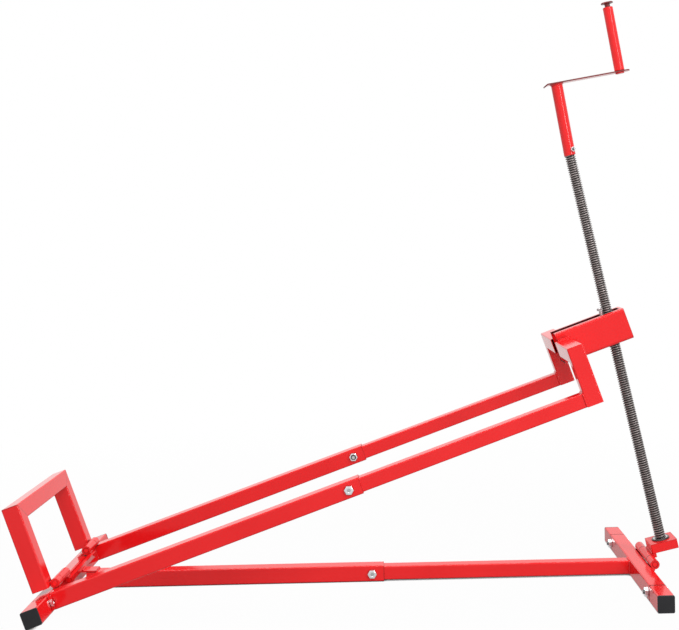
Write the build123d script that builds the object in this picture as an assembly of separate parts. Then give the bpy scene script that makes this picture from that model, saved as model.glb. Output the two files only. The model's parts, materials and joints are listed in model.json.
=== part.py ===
"""Lawn mower lift jack: a square-tube lifting frame raised by a hand-cranked screw.

Millimetres, +Z up, +X towards the front. Each piece is written to parts/NAME.step in the rest pose.
Three frames are used: the floor frame (X = 0 on the front crossbar's centre line), the lift frame (origin on
the rear hinge axis, +X along the arms) and the screw frame (origin on the front hinge axis, +Z along the screw).
"""
import math
import os

from build123d import *

# Square tube
TUBE = 35.0
WALL = 2.0
TUBE_CORNER = 3.0
SLIDE_GAP = 0.5
SLIDE_TUBE = TUBE - 2 * (WALL + SLIDE_GAP)
SLIDE_OVERLAP = 120.0
BUTT_GAP = 2.2

# Base beam on the floor
BASE_BEAM_START = 26.0
BASE_SPLICE = 562.0
SPLICE_BOLT_INSET = 26.0

# Crossbars with their bolted end pieces
FRONT_WIDTH = 550.0
FOOT_LENGTH = 70.0
FRONT_BOLT_INSET = 15.0
REAR_BOLT_ROOM = 1.0
CAP_FLANGE = 3.0
CAP_PLUG = 14.0
CAP_GAP = 0.2

# Lifting frame
ARM_ANGLE = 19.56
ARM_SPACING = 360.0
ARM_OUTER_LENGTH = 665.5
ARM_REACH = 1157.7
UPRIGHT_HEIGHT = 130.4
REAR_FRAME_TOP = 225.5
REAR_POST_LIFT = 8.0

# Hinges
BARREL = 20.0
ROD = 12.0
RUN = 0.05
HINGE_AHEAD = 6.0
HINGE_GAP = 1.5
WELD_GAP = 0.05
BARREL_INSET = 15.0
LIFT_BARREL_LENGTH = 25.0
BASE_BARREL_LENGTH = 55.0
PIN_END = 1.0
HINGE_BAR_START = 7.2
HINGE_BAR = 10.0
HINGE_BAR_OVERLAP = 20.0
HINGE_PLATE = 3.0
HINGE_PLATE_LENGTH = 40.0
FRONT_HINGE_SLOPE = 39.0
FRONT_HINGE_LIFT = 0.3
SEAT_KNUCKLE_LENGTH = 71.0
FIXED_KNUCKLE_LENGTH = 39.0
KNUCKLE_GAP = 1.5

# Screw seat
SEAT_SIZE = 60.0
SEAT_THICKNESS = 20.0
SEAT_START = 8.0
SEAT_DROP = 1.2
THRUST_DIAMETER = 39.0
THRUST_THICKNESS = 1.45
THRUST_GAP = 0.2

# Lifting screw
SCREW_LEAN = 12.58
SCREW_OFFSET = 38.0
SCREW_DIAMETER = 24.0
THREAD_PITCH = 5.0
THREAD_DEPTH = 2.75
THREAD_CREST = 0.34
THREAD_ROOT = 0.34
THREAD_TOP = 907.0
THREAD_SHOULDER = 0.3
RETAINER_DIAMETER = 26.0
RETAINER_THICKNESS = 5.0
SPIGOT_LENGTH = 40.0
FIT = 0.02

# Crank
SOCKET_DIAMETER = 26.0
SOCKET_LENGTH = 162.0
CRANK_TILT = 2.7
SOCKET_BOLT_RISE = 12.0
SOCKET_BOLT_TURN = 207.0
WELD_FLARE = 3.5
CRANK_ARM = 144.5
CRANK_WIDTH = 28.0
CRANK_THICKNESS = 3.0
CRANK_TAIL = 22.0
CRANK_NOSE = 22.0
CRANK_TAB = 9.0
CRANK_TAB_TURN = 30.0
GRIP_DIAMETER = 22.5
GRIP_LENGTH = 144.4
GRIP_BASE_GAP = 0.4
GRIP_TOP_GAP = 8.4
GRIP_PIN = 12.0
GRIP_HEAD = 27.0
GRIP_RIVET = 20.0
GRIP_HEAD_THICKNESS = 3.0

# Nut channel and nut
CHANNEL_INSET = 5.5
CHANNEL_LENGTH = 162.5
CHANNEL_WIDTH = 68.0
CHANNEL_OVER = 17.1
CHANNEL_HEIGHT = 69.5
CHANNEL_SHEET = 4.0
CHANNEL_BEND = 6.0
CHANNEL_SLOT_ROOM = 1.0
CHANNEL_END_BRIDGE = 6.0
WEB_HOLE_LENGTH = 56.0
WEB_HOLE_WIDTH = 30.0
NUT_AHEAD = 132.3
NUT_DIAMETER = 52.0
NUT_DROP = 5.0
NUT_SIDE_GAP = 1.0
NUT_BORE_GAP = 0.1
GUIDE_TURN = 40.0
GUIDE_ROOM = 1.3
GUIDE_DEPTH = 4.0
GUIDE_STANDOFF = 44.0

# Hexagon fasteners: across flats, head height, nut height for each thread size
HEX = {6.0: (10.0, 4.0, 5.0), 8.0: (13.0, 5.3, 6.5), 10.0: (17.0, 6.4, 8.0)}
SPLICE_BOLT = 10.0
FRONT_FOOT_BOLT = 10.0
REAR_FOOT_BOLT = 8.0
SOCKET_BOLT = 6.0
GUIDE_BOLT = 8.0
HOLE_GAP = 0.25
BOLT_END = 3.0

# Positions that follow from the sizes above
HALF = TUBE / 2
HOLE = TUBE - 2 * WALL
HINGE_RISE = TUBE + BARREL / 2
LEAN_IN = TUBE + HINGE_AHEAD - TUBE_CORNER
DROP_IN = HINGE_RISE - TUBE_CORNER
ARM_RAD = math.radians(ARM_ANGLE)
REAR_HINGE_Z = LEAN_IN * math.sin(ARM_RAD) + DROP_IN * math.cos(ARM_RAD) + TUBE_CORNER
HINGE_REACH = TUBE_CORNER + BARREL / 2 + FRONT_HINGE_LIFT
FRONT_HINGE_X = HALF - TUBE_CORNER + HINGE_REACH * math.cos(math.radians(FRONT_HINGE_SLOPE))
FRONT_HINGE_Z = TUBE - TUBE_CORNER + HINGE_REACH * math.sin(math.radians(FRONT_HINGE_SLOPE))
SEAT_RISE = BARREL / 2 - SEAT_DROP
SEAT_TOP = SEAT_RISE + SEAT_THICKNESS
COLLAR_BASE = SEAT_TOP + THRUST_THICKNESS + THRUST_GAP
THREAD_START = COLLAR_BASE + THRUST_THICKNESS
JOURNAL = SCREW_DIAMETER - 2 * (THREAD_DEPTH + THREAD_SHOULDER)
CRANK_LEVEL = THREAD_TOP + SOCKET_LENGTH
CHANNEL_BOTTOM = UPRIGHT_HEIGHT + CHANNEL_OVER - CHANNEL_HEIGHT
CHANNEL_TOP = CHANNEL_BOTTOM + CHANNEL_HEIGHT
NUT_LEVEL = CHANNEL_TOP - CHANNEL_SHEET - NUT_DROP - NUT_DIAMETER / 2
GUIDE_RADIUS = SCREW_DIAMETER / 2 + HEX[GUIDE_BOLT][0] / math.sqrt(3) + GUIDE_ROOM
GUIDE_AHEAD = -GUIDE_RADIUS * math.cos(math.radians(GUIDE_TURN))
GUIDE_SIDE = -GUIDE_RADIUS * math.sin(math.radians(GUIDE_TURN))
CHANNEL_SLOT = 2 * (CHANNEL_SLOT_ROOM + GUIDE_BOLT / 2 - GUIDE_SIDE)

# The nut's place in the raised channel and the screw's lean set the nut's height and the base's length
NUT_X = ARM_REACH + NUT_AHEAD - HINGE_AHEAD
NUT_Z = NUT_LEVEL - HINGE_RISE
NUT_FORWARD = NUT_X * math.cos(ARM_RAD) - NUT_Z * math.sin(ARM_RAD)
NUT_RISE = REAR_HINGE_Z + NUT_X * math.sin(ARM_RAD) + NUT_Z * math.cos(ARM_RAD) - FRONT_HINGE_Z
LEAN_RAD = math.radians(SCREW_LEAN)
NUT_HEIGHT = (NUT_RISE - SCREW_OFFSET * math.sin(LEAN_RAD)) / math.cos(LEAN_RAD)
NUT_BACK = NUT_HEIGHT * math.sin(LEAN_RAD) - SCREW_OFFSET * math.cos(LEAN_RAD)
REAR_HINGE_X = FRONT_HINGE_X - NUT_BACK - NUT_FORWARD

FLOOR = Pos(0, 0, 0)
LIFT = Pos(REAR_HINGE_X, 0, REAR_HINGE_Z) * Rot(0, -ARM_ANGLE, 0)
SCREW = Pos(FRONT_HINGE_X, 0, FRONT_HINGE_Z) * Rot(0, -SCREW_LEAN, 0)
NEAR = -1
FAR = 1
SIDES = {"near": NEAR, "far": FAR}


def lift_at(along, across, up):
    """Place in the lift frame from the arm's lower rear corner."""
    return Pos(along - HINGE_AHEAD, across, up - HINGE_RISE)


def ring_section(size):
    """Square tube section with rounded corners."""
    hole = size - 2 * WALL
    return RectangleRounded(size, size, TUBE_CORNER) - RectangleRounded(hole, hole, TUBE_CORNER - WALL)


def tube_x(size, start, end):
    """Square tube along X, centred on the X axis."""
    return Pos(start, 0, 0) * extrude(Plane.YZ * ring_section(size), end - start)


def tube_y(size, start, end):
    """Square tube along Y, centred on the Y axis."""
    return Rot(0, 0, 90) * tube_x(size, start, end)


def tube_z(size, start, end):
    """Square tube along Z, centred on the Z axis."""
    return Rot(0, -90, 0) * tube_x(size, start, end)


def cylinder_y(diameter, start, end):
    """Round bar along Y between two stations."""
    return Pos(0, (start + end) / 2, 0) * Rot(90, 0, 0) * Cylinder(diameter / 2, end - start)


def bar_z(diameter, start, end):
    """Round bar along Z between two stations."""
    return Pos(0, 0, start) * Cylinder(diameter / 2, end - start, align=(Align.CENTER, Align.CENTER, Align.MIN))


def eased(part, length):
    """Chamfer the round rims at both ends of a turned piece along Y."""
    rims = part.edges().filter_by(GeomType.CIRCLE).group_by(Axis.Y)
    return chamfer(rims[0] + rims[-1], length)


def hinge_barrel(start, end):
    """Hinge knuckle along Y, bored for the rod."""
    return eased(cylinder_y(BARREL, start, end), 0.8) - cylinder_y(ROD + 2 * RUN, start, end)


def hex_prism(across, height):
    """Hexagon along Z with its top corners eased."""
    corner = across / math.sqrt(3)
    prism = extrude(RegularPolygon(corner, 6), height)
    blank = bar_z(2 * corner, 0, height)
    return prism & chamfer(blank.edges().group_by(Axis.Z)[-1], 0.1 * across)


def hex_bolt(size, length):
    """Hexagon bolt: the head stands on Z = 0 and the shank points down."""
    across, head, _ = HEX[size]
    shank = bar_z(size, -length, 0)
    return hex_prism(across, head) + chamfer(shank.edges().group_by(Axis.Z)[0], 0.1 * size)


def hex_nut(size):
    """Hexagon nut standing on Z = 0."""
    across, _, height = HEX[size]
    return hex_prism(across, height) - bar_z(size + 2 * FIT, 0, height)


def clamp_bolt(size, grip):
    """Bolt centred on a clamped thickness: head above, shank through."""
    return Pos(0, 0, grip / 2) * hex_bolt(size, grip + HEX[size][2] + BOLT_END)


def clamp_nut(size, grip):
    """Nut below the clamped thickness of clamp_bolt."""
    return Pos(0, 0, -grip / 2) * Rot(180, 0, 0) * hex_nut(size)


def clamp_hole(size, grip):
    """Hole through the clamped thickness, along Z."""
    return bar_z(size + 2 * HOLE_GAP, -grip, grip)


def foot_piece(side, seam, end):
    """End piece of a crossbar: an outer sleeve welded on the tube that plugs into the crossbar."""
    outer = tube_y(TUBE, seam, end - CAP_FLANGE)
    plug = tube_y(SLIDE_TUBE, seam - FOOT_LENGTH, seam + FOOT_LENGTH / 3)
    weld = RectangleRounded(TUBE - WALL, TUBE - WALL, TUBE_CORNER - WALL / 2)
    weld -= Rectangle(SLIDE_TUBE - WALL, SLIDE_TUBE - WALL)
    weld = Rot(0, 0, 90) * Pos(seam, 0, 0) * extrude(Plane.YZ * weld, WALL)
    piece = outer + plug + weld
    return piece if side == FAR else mirror(piece, about=Plane.XZ)


def end_cap(side, end):
    """Push-in cap with a square flange."""
    flange = extrude(Plane.YZ * RectangleRounded(TUBE, TUBE, TUBE_CORNER), CAP_FLANGE)
    flange = fillet(flange.edges().group_by(Axis.X)[-1], 1.0)
    size = HOLE - 2 * CAP_GAP
    wall = 2 * WALL
    plug = RectangleRounded(size, size, TUBE_CORNER - WALL)
    plug -= RectangleRounded(size - wall, size - wall, TUBE_CORNER - WALL)
    plug = extrude(Plane.YZ * plug, -CAP_PLUG)
    cap = Rot(0, 0, 90) * Pos(end - CAP_FLANGE, 0, 0) * (flange + plug)
    return cap if side == FAR else mirror(cap, about=Plane.XZ)


def thread_section(outer, inner):
    """Cross-section of a single-start thread, square to its axis."""
    flank = (1 - THREAD_CREST - THREAD_ROOT) / 2
    stations = [0, THREAD_CREST, THREAD_CREST + flank, 1 - flank, 1]

    def point(radius, turn):
        angle = 2 * math.pi * turn
        return (radius * math.cos(angle), radius * math.sin(angle))

    def arc(radius, start, end):
        return ThreePointArc(point(radius, start), point(radius, (start + end) / 2), point(radius, end))

    def spiral(first, last, start, end):
        steps = [i / 4 for i in range(5)]
        return Spline([point(first + (last - first) * s, start + (end - start) * s) for s in steps])

    crest = arc(outer, stations[0], stations[1])
    down = spiral(outer, inner, stations[1], stations[2])
    root = arc(inner, stations[2], stations[3])
    rise = spiral(inner, outer, stations[3], stations[4])
    return Face(Wire([crest.edge(), down.edge(), root.edge(), rise.edge()]))


def threaded_rod(start, turns, foot, spigot):
    """Screw along Z: one twisted turn repeated, closed by turned-down ends.

    The foot reaches down from the first turn and the spigot up from the last one; each gives up the flat
    face that lies on the thread.
    """
    section = thread_section(SCREW_DIAMETER / 2, SCREW_DIAMETER / 2 - THREAD_DEPTH)
    turn = Solid.extrude_linear_with_rotation(section, (0, 0, 0), (0, 0, THREAD_PITCH), 360)
    flanks = [face for face in turn.faces() if face.geom_type != GeomType.PLANE]
    shoulder = (section - Circle(JOURNAL / 2)).face()
    end = start + turns * THREAD_PITCH
    faces = [Pos(0, 0, start + i * THREAD_PITCH) * face for i in range(turns) for face in flanks]
    faces += [Pos(0, 0, start) * shoulder, Pos(0, 0, end) * shoulder]
    faces += [face for face in foot.faces() if face != foot.faces().sort_by(Axis.Z)[-1]]
    faces += [face for face in spigot.faces() if face != spigot.faces().sort_by(Axis.Z)[0]]
    return Solid(Shell(faces))


parts = {}

# Base beam: two telescoping tubes bolted together
splice_x = -BASE_SPLICE - SPLICE_BOLT_INSET
splice = Pos(splice_x, 0, HALF) * Rot(90, 0, 0)
beam = Pos(0, 0, HALF) * tube_x(TUBE, REAR_HINGE_X + BASE_BEAM_START, -BASE_SPLICE)
beam_slide = Pos(0, 0, HALF) * tube_x(SLIDE_TUBE, -BASE_SPLICE - SLIDE_OVERLAP, -HALF)
parts["base_outer_tube"] = FLOOR * (beam - splice * clamp_hole(SPLICE_BOLT, TUBE))
parts["base_inner_tube"] = FLOOR * (beam_slide - splice * clamp_hole(SPLICE_BOLT, TUBE))
parts["base_splice_bolt"] = FLOOR * splice * clamp_bolt(SPLICE_BOLT, TUBE)
parts["base_splice_nut"] = FLOOR * splice * clamp_nut(SPLICE_BOLT, TUBE)

# Crossbars: the front one lies on the floor, the rear one belongs to the lifting frame
front_seam = FRONT_WIDTH / 2 - FOOT_LENGTH
head_room = HEX[REAR_FOOT_BOLT][0] / math.sqrt(3) + REAR_BOLT_ROOM
rear_bolt = ARM_SPACING / 2 + HALF + head_room
crossbars = {
    "front": (FLOOR * Pos(0, 0, HALF), front_seam, front_seam - FRONT_BOLT_INSET, FRONT_FOOT_BOLT),
    "rear": (LIFT * lift_at(-HALF, 0, HALF), rear_bolt + head_room, rear_bolt, REAR_FOOT_BOLT),
}
for end_name, (place, seam, bolt, size) in crossbars.items():
    end = seam + FOOT_LENGTH
    bolt_places = [Pos(0, way * bolt, 0) * Rot(0, 90, 0) for way in SIDES.values()]
    holes = [spot * clamp_hole(size, TUBE) for spot in bolt_places]
    parts[f"{end_name}_crossbar"] = place * (tube_y(TUBE, BUTT_GAP - seam, seam - BUTT_GAP) - holes)
    for side, way in SIDES.items():
        parts[f"{end_name}_foot_{side}"] = place * (foot_piece(way, seam, end) - holes)
        parts[f"{end_name}_cap_{side}"] = place * end_cap(way, end)
    bolts = [place * spot * clamp_bolt(size, TUBE) for spot in bolt_places]
    nuts = [place * spot * clamp_nut(size, TUBE) for spot in bolt_places]
    parts[f"{end_name}_foot_bolts"] = Compound(bolts)
    parts[f"{end_name}_foot_nuts"] = Compound(nuts)

# Rear hinge: a cross bar on the base's plate carries two barrels, two more sit on the lifting frame's posts
frame_half = ARM_SPACING / 2
barrel_outer = frame_half - BARREL_INSET
barrel_inner = barrel_outer - LIFT_BARREL_LENGTH
base_barrel = barrel_inner - HINGE_GAP
base_barrel_inner = base_barrel - BASE_BARREL_LENGTH
rear_hinge = FLOOR * Pos(REAR_HINGE_X, 0, REAR_HINGE_Z)
seated = (Align.MIN, Align.CENTER, Align.MAX)
bar_top = -math.sqrt((BARREL / 2 + WELD_GAP) ** 2 - HINGE_BAR_START**2)
plate_top = TUBE + HINGE_PLATE - REAR_HINGE_Z
bar = Box(HINGE_BAR, 2 * (base_barrel_inner + HINGE_BAR_OVERLAP), bar_top - plate_top, align=seated)
plate = Box(HINGE_PLATE_LENGTH, TUBE, HINGE_PLATE, align=seated)
parts["base_hinge_bar"] = rear_hinge * Pos(HINGE_BAR_START, 0, bar_top) * bar
parts["base_hinge_plate"] = rear_hinge * Pos(HINGE_BAR_START, 0, plate_top) * plate
for side, way in SIDES.items():
    lift_ends = sorted([way * barrel_inner, way * barrel_outer])
    base_ends = sorted([way * base_barrel_inner, way * base_barrel])
    pin_ends = sorted([way * base_barrel_inner, way * (barrel_outer + PIN_END)])
    parts[f"rear_hinge_barrel_{side}"] = LIFT * hinge_barrel(*lift_ends)
    parts[f"base_hinge_barrel_{side}"] = rear_hinge * hinge_barrel(*base_ends)
    parts[f"rear_hinge_pin_{side}"] = rear_hinge * eased(cylinder_y(ROD, *pin_ends), 0.8)

# Rear frame: two posts and a top bar, mitred
post_x = -BARREL / 2 - WELD_GAP - HALF
post_top = REAR_FRAME_TOP - HINGE_RISE
post_foot = TUBE + REAR_POST_LIFT - HINGE_RISE
top_bar = tube_y(TUBE, -frame_half, frame_half)
for side, way in SIDES.items():
    mitre = Plane((0, way * frame_half, post_top), x_dir=(1, 0, 0), z_dir=(0, -way, 1))
    post = Pos(post_x, way * (frame_half - HALF), 0) * tube_z(TUBE, post_foot, post_top)
    parts[f"rear_post_{side}"] = LIFT * split(post, bisect_by=mitre, keep=Keep.BOTTOM)
    level_mitre = Plane((0, way * frame_half, HALF), x_dir=(1, 0, 0), z_dir=(0, -way, 1))
    top_bar = split(top_bar, bisect_by=level_mitre, keep=Keep.TOP)
parts["rear_top_bar"] = LIFT * Pos(post_x, 0, post_top - HALF) * top_bar

# Arms, front uprights and the two halves of the front top bar
arm_bolts = []
arm_nuts = []
channel_half = CHANNEL_WIDTH / 2
upright_x = ARM_REACH + HALF
upright_foot = HALF - SLIDE_TUBE / 2
outer_face = ARM_SPACING / 2 + HALF
for side, way in SIDES.items():
    arm_y = way * ARM_SPACING / 2
    head_out = lift_at(ARM_OUTER_LENGTH - SPLICE_BOLT_INSET, arm_y, HALF) * Rot(-90 * way, 0, 0)
    hole = head_out * clamp_hole(SPLICE_BOLT, TUBE)
    outer = lift_at(0, arm_y, HALF) * tube_x(TUBE, 0, ARM_OUTER_LENGTH)
    inner = lift_at(0, arm_y, HALF) * tube_x(SLIDE_TUBE, ARM_OUTER_LENGTH - SLIDE_OVERLAP, ARM_REACH)
    parts[f"arm_outer_{side}"] = LIFT * (outer - hole)
    parts[f"arm_inner_{side}"] = LIFT * (inner - hole)
    arm_bolts.append(LIFT * head_out * clamp_bolt(SPLICE_BOLT, TUBE))
    arm_nuts.append(LIFT * head_out * clamp_nut(SPLICE_BOLT, TUBE))
    mitre = Plane((0, way * HALF, UPRIGHT_HEIGHT), x_dir=(1, 0, 0), z_dir=(0, -way, 1))
    upright = split(tube_z(TUBE, upright_foot, UPRIGHT_HEIGHT), bisect_by=mitre, keep=Keep.BOTTOM)
    parts[f"front_upright_{side}"] = LIFT * lift_at(upright_x, arm_y, 0) * upright
    half_bar = tube_y(TUBE, *sorted([way * channel_half, way * outer_face]))
    bar_mitre = Plane((0, way * outer_face, HALF), x_dir=(1, 0, 0), z_dir=(0, -way, 1))
    half_bar = split(half_bar, bisect_by=bar_mitre, keep=Keep.TOP)
    parts[f"front_top_bar_{side}"] = LIFT * lift_at(upright_x, 0, UPRIGHT_HEIGHT - HALF) * half_bar
parts["arm_splice_bolts"] = Compound(arm_bolts)
parts["arm_splice_nuts"] = Compound(arm_nuts)

# Nut channel: bent sheet with lips over the nut and a hole in its web for the screw
sheet = RectangleRounded(CHANNEL_WIDTH, CHANNEL_HEIGHT, CHANNEL_BEND)
inside = CHANNEL_BEND - CHANNEL_SHEET
sheet -= RectangleRounded(CHANNEL_WIDTH - 2 * CHANNEL_SHEET, CHANNEL_HEIGHT - 2 * CHANNEL_SHEET, inside)
channel = extrude(Plane.YZ * sheet, CHANNEL_LENGTH)
lip_slot = Box(CHANNEL_LENGTH, CHANNEL_SLOT, CHANNEL_HEIGHT / 2, align=(Align.MIN, Align.CENTER, Align.MIN))
channel -= Pos(-CHANNEL_END_BRIDGE, 0, CHANNEL_HEIGHT / 4) * lip_slot
web_hole = extrude(SlotOverall(WEB_HOLE_LENGTH, WEB_HOLE_WIDTH), CHANNEL_HEIGHT / 4)
channel -= Pos(NUT_AHEAD - CHANNEL_INSET - CHANNEL_SHEET, 0, -CHANNEL_HEIGHT / 2) * web_hole
channel_at = lift_at(ARM_REACH + CHANNEL_INSET, 0, CHANNEL_BOTTOM + CHANNEL_HEIGHT / 2)
parts["nut_channel"] = LIFT * channel_at * channel

# Front hinge: two knuckles with lugs on the crossbar, one knuckle under the seat, one pin
front_hinge = FLOOR * Pos(FRONT_HINGE_X, 0, FRONT_HINGE_Z)
seat_half = SEAT_KNUCKLE_LENGTH / 2
knuckle_end = seat_half + KNUCKLE_GAP + FIXED_KNUCKLE_LENGTH
lug_depth = FRONT_HINGE_X - HALF
lug = Box(lug_depth, FIXED_KNUCKLE_LENGTH, BARREL / 2 + ROD / 2, align=(Align.MAX, Align.CENTER, Align.MAX))
lug = chamfer(lug.edges().group_by(Axis.Z)[0].sort_by(Axis.X)[-1], lug_depth / 2)
for side, way in SIDES.items():
    stations = sorted([way * (seat_half + KNUCKLE_GAP), way * knuckle_end])
    knuckle = cylinder_y(BARREL, *stations) + Pos(0, sum(stations) / 2, 0) * lug
    parts[f"front_knuckle_{side}"] = front_hinge * (knuckle - cylinder_y(ROD + 2 * RUN, *stations))
parts["front_hinge_pin"] = front_hinge * eased(cylinder_y(ROD, -knuckle_end, knuckle_end), 0.8)

# Screw seat: block, knuckle with a fin under the block, thrust washer
axis = Pos(SCREW_OFFSET, 0, 0)
corner = (Align.MIN, Align.CENTER, Align.MIN)
block = Pos(SEAT_START, 0, SEAT_RISE) * Box(SEAT_SIZE, SEAT_SIZE, SEAT_THICKNESS, align=corner)
block = fillet(block.edges().filter_by(Axis.Z), 2.0)
block -= axis * bar_z(JOURNAL + 2 * RUN, 0, SEAT_TOP)
pocket_top = SEAT_RISE + RETAINER_THICKNESS + THRUST_GAP
block -= axis * bar_z(RETAINER_DIAMETER + 4 * THRUST_GAP, 0, pocket_top)
fin = Box(SEAT_START, SEAT_SIZE, SEAT_RISE, align=corner)
knuckle = cylinder_y(BARREL, -seat_half, seat_half) + Pos(SEAT_START, 0, 0) * fin
knuckle += fin
parts["screw_seat_block"] = SCREW * block
parts["seat_knuckle"] = SCREW * (knuckle - cylinder_y(ROD + 2 * RUN, -seat_half, seat_half))
washer = bar_z(THRUST_DIAMETER, SEAT_TOP, SEAT_TOP + THRUST_THICKNESS)
washer = chamfer(washer.edges().group_by(Axis.Z)[-1], 0.6) - bar_z(JOURNAL + 2 * RUN, 0, COLLAR_BASE)
parts["thrust_washer"] = SCREW * axis * washer

# Lifting screw: threaded between a journal in the seat and a spigot in the crank socket
turns = int((THREAD_TOP - THREAD_START) / THREAD_PITCH)
thread_base = THREAD_TOP - turns * THREAD_PITCH
bolt_level = THREAD_TOP + SOCKET_BOLT_RISE
tilt = axis * Pos(0, 0, THREAD_TOP) * Rot(0, CRANK_TILT, 0) * Pos(0, 0, -THREAD_TOP)
cross = tilt * Pos(0, 0, bolt_level) * Rot(0, 0, SOCKET_BOLT_TURN) * Rot(90, 0, 0)
cross_hole = cross * clamp_hole(SOCKET_BOLT, SOCKET_DIAMETER)
journal = bar_z(JOURNAL, SEAT_RISE, thread_base)
journal = chamfer(journal.edges().group_by(Axis.Z)[0], 0.8)
spigot = bar_z(JOURNAL, THREAD_TOP, THREAD_TOP + SPIGOT_LENGTH)
spigot = axis.inverse() * (axis * spigot - cross_hole)
parts["lift_screw"] = SCREW * axis * threaded_rod(thread_base, turns, journal, spigot)
collar = bar_z(THRUST_DIAMETER, COLLAR_BASE, thread_base) - bar_z(JOURNAL + 2 * FIT, 0, thread_base)
parts["screw_collar"] = SCREW * axis * chamfer(collar.edges().group_by(Axis.Z)[-1].sort_by(SortBy.LENGTH)[-1], 0.8)
retainer = bar_z(RETAINER_DIAMETER, SEAT_RISE, SEAT_RISE + RETAINER_THICKNESS)
parts["screw_retainer"] = SCREW * axis * (retainer - bar_z(JOURNAL + 2 * FIT, 0, SEAT_TOP))

# Crank: tilted socket bolted on the screw, flat arm, riveted grip pin with a loose sleeve
socket = bar_z(SOCKET_DIAMETER, THREAD_TOP - SOCKET_DIAMETER, CRANK_LEVEL)
flare = Cone(SOCKET_DIAMETER / 2, SOCKET_DIAMETER / 2 + WELD_FLARE, WELD_FLARE)
socket += Pos(0, 0, CRANK_LEVEL - WELD_FLARE / 2) * flare
socket = tilt * (socket - bar_z(JOURNAL, bolt_level, CRANK_LEVEL))
socket -= axis * bar_z(2 * SOCKET_DIAMETER, THREAD_TOP - 2 * SOCKET_DIAMETER, THREAD_TOP)
socket -= axis * bar_z(JOURNAL + 2 * FIT, THREAD_TOP, THREAD_TOP + SPIGOT_LENGTH)
parts["crank_socket"] = SCREW * (socket - cross_hole)
parts["crank_socket_bolt"] = SCREW * cross * clamp_bolt(SOCKET_BOLT, SOCKET_DIAMETER)
parts["crank_socket_nut"] = SCREW * cross * clamp_nut(SOCKET_BOLT, SOCKET_DIAMETER)

crank = tilt * Pos(0, 0, CRANK_LEVEL)
grip = crank * Pos(CRANK_ARM, 0, 0)
plate = Pos(-CRANK_TAIL, 0, 0) * Box(CRANK_TAIL + CRANK_ARM + CRANK_NOSE, CRANK_WIDTH, CRANK_THICKNESS, align=corner)
tab = Box(CRANK_TAB, CRANK_WIDTH, CRANK_THICKNESS, align=(Align.MAX, Align.CENTER, Align.MAX))
plate += Pos(-CRANK_TAIL, 0, CRANK_THICKNESS) * Rot(0, -CRANK_TAB_TURN, 0) * tab
outline = RectangleRounded(CRANK_TAIL + CRANK_TAB + CRANK_ARM + CRANK_NOSE, CRANK_WIDTH, CRANK_WIDTH / 2.2)
outline = Pos((CRANK_ARM + CRANK_NOSE - CRANK_TAIL - CRANK_TAB) / 2, 0, 0) * outline
plate &= extrude(outline, 2 * CRANK_TAB, both=True)
plate -= Pos(CRANK_ARM, 0, 0) * bar_z(GRIP_PIN + 2 * FIT, -CRANK_TAB, CRANK_TAB)
parts["crank_arm"] = SCREW * crank * plate
sleeve_base = CRANK_THICKNESS + GRIP_BASE_GAP
sleeve_top = sleeve_base + GRIP_LENGTH
head_base = sleeve_top + GRIP_TOP_GAP
pin = bar_z(GRIP_PIN, -GRIP_HEAD_THICKNESS, head_base + GRIP_HEAD_THICKNESS)
head = bar_z(GRIP_HEAD, head_base, head_base + GRIP_HEAD_THICKNESS)
rivet = bar_z(GRIP_RIVET, -GRIP_HEAD_THICKNESS, 0)
pin += chamfer(head.edges().group_by(Axis.Z)[-1], 1.0)
pin += chamfer(rivet.edges().group_by(Axis.Z)[0], 1.0)
parts["grip_pin"] = SCREW * grip * pin
sleeve = bar_z(GRIP_DIAMETER, sleeve_base, sleeve_top)
sleeve = fillet(sleeve.edges().filter_by(GeomType.CIRCLE), 1.5) - bar_z(GRIP_PIN + 2 * RUN, sleeve_base, sleeve_top)
parts["crank_grip"] = SCREW * grip * sleeve

# Nut: a round cross-bar on the screw, kept from turning by a bolt in the channel's slot
nut_half = channel_half - CHANNEL_SHEET - NUT_SIDE_GAP
nut_place = SCREW * axis * Pos(0, 0, NUT_HEIGHT)
guide = Pos(GUIDE_AHEAD, GUIDE_SIDE, GUIDE_STANDOFF)
nut = eased(cylinder_y(NUT_DIAMETER, -nut_half, nut_half), 2.0)
nut -= bar_z(SCREW_DIAMETER + 2 * NUT_BORE_GAP, -NUT_DIAMETER, NUT_DIAMETER)
nut -= guide * bar_z(GUIDE_BOLT + 2 * FIT, GUIDE_DEPTH - GUIDE_STANDOFF, 0)
parts["lift_nut"] = nut_place * nut
parts["nut_guide_bolt"] = nut_place * guide * hex_bolt(GUIDE_BOLT, GUIDE_STANDOFF - GUIDE_DEPTH)

# The origin is the middle of the assembly's box, on the floor
box = Compound([Compound(part.solids()) for part in parts.values()]).bounding_box()
ORIGIN = Pos(-(box.min.X + box.max.X) / 2, 0, -box.min.Z)

os.makedirs("parts", exist_ok=True)
for name, part in parts.items():
    solids = [ORIGIN * solid for solid in part.solids()]
    export_step(solids[0] if len(solids) == 1 else Compound(solids), f"parts/{name}.step")
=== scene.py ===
"""Looks for a lawn mower lift jack: red powder coat, welds, plated fasteners and a long lifting screw.

Metres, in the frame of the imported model: +X from the rear hinge to the screw, +Y to the far side, +Z up.
"""
import json
import math

import bmesh
import bpy
from bpy.props import FloatProperty, FloatVectorProperty, IntProperty, PointerProperty
from mathutils import Matrix, Vector


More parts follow.
